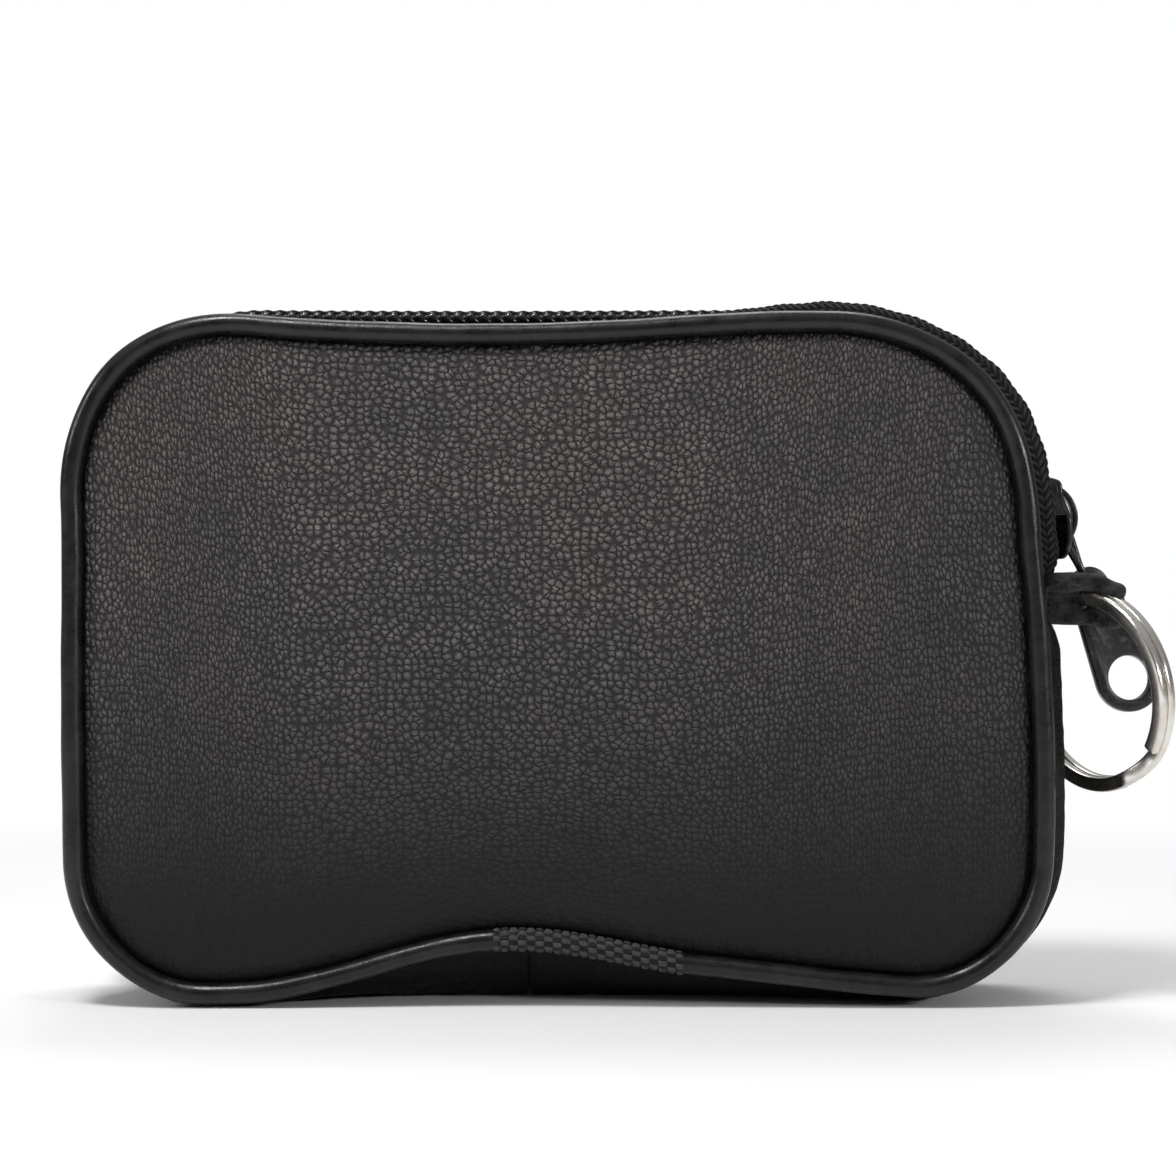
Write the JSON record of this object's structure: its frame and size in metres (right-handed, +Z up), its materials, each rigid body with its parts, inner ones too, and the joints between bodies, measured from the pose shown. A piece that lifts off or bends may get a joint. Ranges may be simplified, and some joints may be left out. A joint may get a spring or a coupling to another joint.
{
  "type": "coin purse",
  "caption": "Small zipped leather coin purse with piped edges, tucked side gussets, a slider on the corner and a split ring on a leather tab.",
  "frame": {"origin": "middle of the flat underside the purse stands on", "axes": "+Z up, +X towards the slider and the split ring, the front panel faces -Y"},
  "size_m": [0.1371, 0.031, 0.086],
  "materials": {
    "leather": "pebbled, semi-matte",
    "leather_matte": "smooth, matte",
    "piping": "smooth, semi-gloss",
    "woven": "basket weave",
    "lining": "plain weave",
    "tape": "herringbone weave",
    "coil": "satin nylon",
    "cord": "twisted cord",
    "black_metal": "glossy enamel",
    "nickel": "polished nickel plate"
  },
  "bodies": {
    "purse": {"front_panel": "leather", "back_panel": "leather", "gusset_left": "leather_matte", "gusset_right": "leather_matte", "lining": "lining", "front_piping": "piping", "back_piping": "piping", "front_piping_cord": "cord", "back_piping_cord": "cord", "front_piping_sleeve": "woven", "back_piping_sleeve": "woven", "ring_tab": "leather_matte"},
    "zip_edge_front": {"zip_tape_front": "tape", "zip_coil_front": "coil", "zip_cord_front": "cord"},
    "zip_edge_back": {"zip_tape_back": "tape", "zip_coil_back": "coil", "zip_cord_back": "cord"},
    "slider": {"slider_body": "black_metal", "slider_cap": "black_metal", "slider_lock_spring": "nickel"},
    "puller_link": {"puller_link": "black_metal"},
    "puller_plate": {"puller_plate": "black_metal"},
    "split_ring": {"split_ring": "nickel"}
  },
  "joints": [
    {"name": "slider_travel", "type": "hinge", "parent": "purse", "child": "slider", "pos_m": [0.0333, 0, 0.05817], "axis": [0, -1, 0], "range_deg": [0, 70], "deforming": ["zip_tape_front", "zip_coil_front", "zip_cord_front", "zip_tape_back", "zip_coil_back", "zip_cord_back"]},
    {"name": "zip_front_edge", "type": "slide", "parent": "purse", "child": "zip_edge_front", "axis": [0, -1, 0], "range_m": [0, 0.003]},
    {"name": "zip_back_edge", "type": "slide", "parent": "purse", "child": "zip_edge_back", "axis": [0, 1, 0], "range_m": [0, 0.003]},
    {"name": "puller_swing", "type": "hinge", "parent": "slider", "child": "puller_link", "pos_m": [0.06368, 0, 0.05898], "axis": [0, -1, 0], "range_deg": [-3, 110]},
    {"name": "plate_swing", "type": "hinge", "parent": "puller_link", "child": "puller_plate", "pos_m": [0.06671, 0, 0.05201], "axis": [-0.3137, -0.9397, -0.1364], "range_deg": [-3, 70]},
    {"name": "ring_swing", "type": "hinge", "parent": "purse", "child": "split_ring", "pos_m": [0.06495, -0.0064, 0.04982], "axis": [0.5532, -0.829, 0.0817], "range_deg": [-3, 70]}
  ],
  "couplings": [
    {"joint": "zip_front_edge", "follows": "slider_travel", "m_per_rad": 0.002455},
    {"joint": "zip_back_edge", "follows": "slider_travel", "m_per_rad": 0.002455}
  ]
}
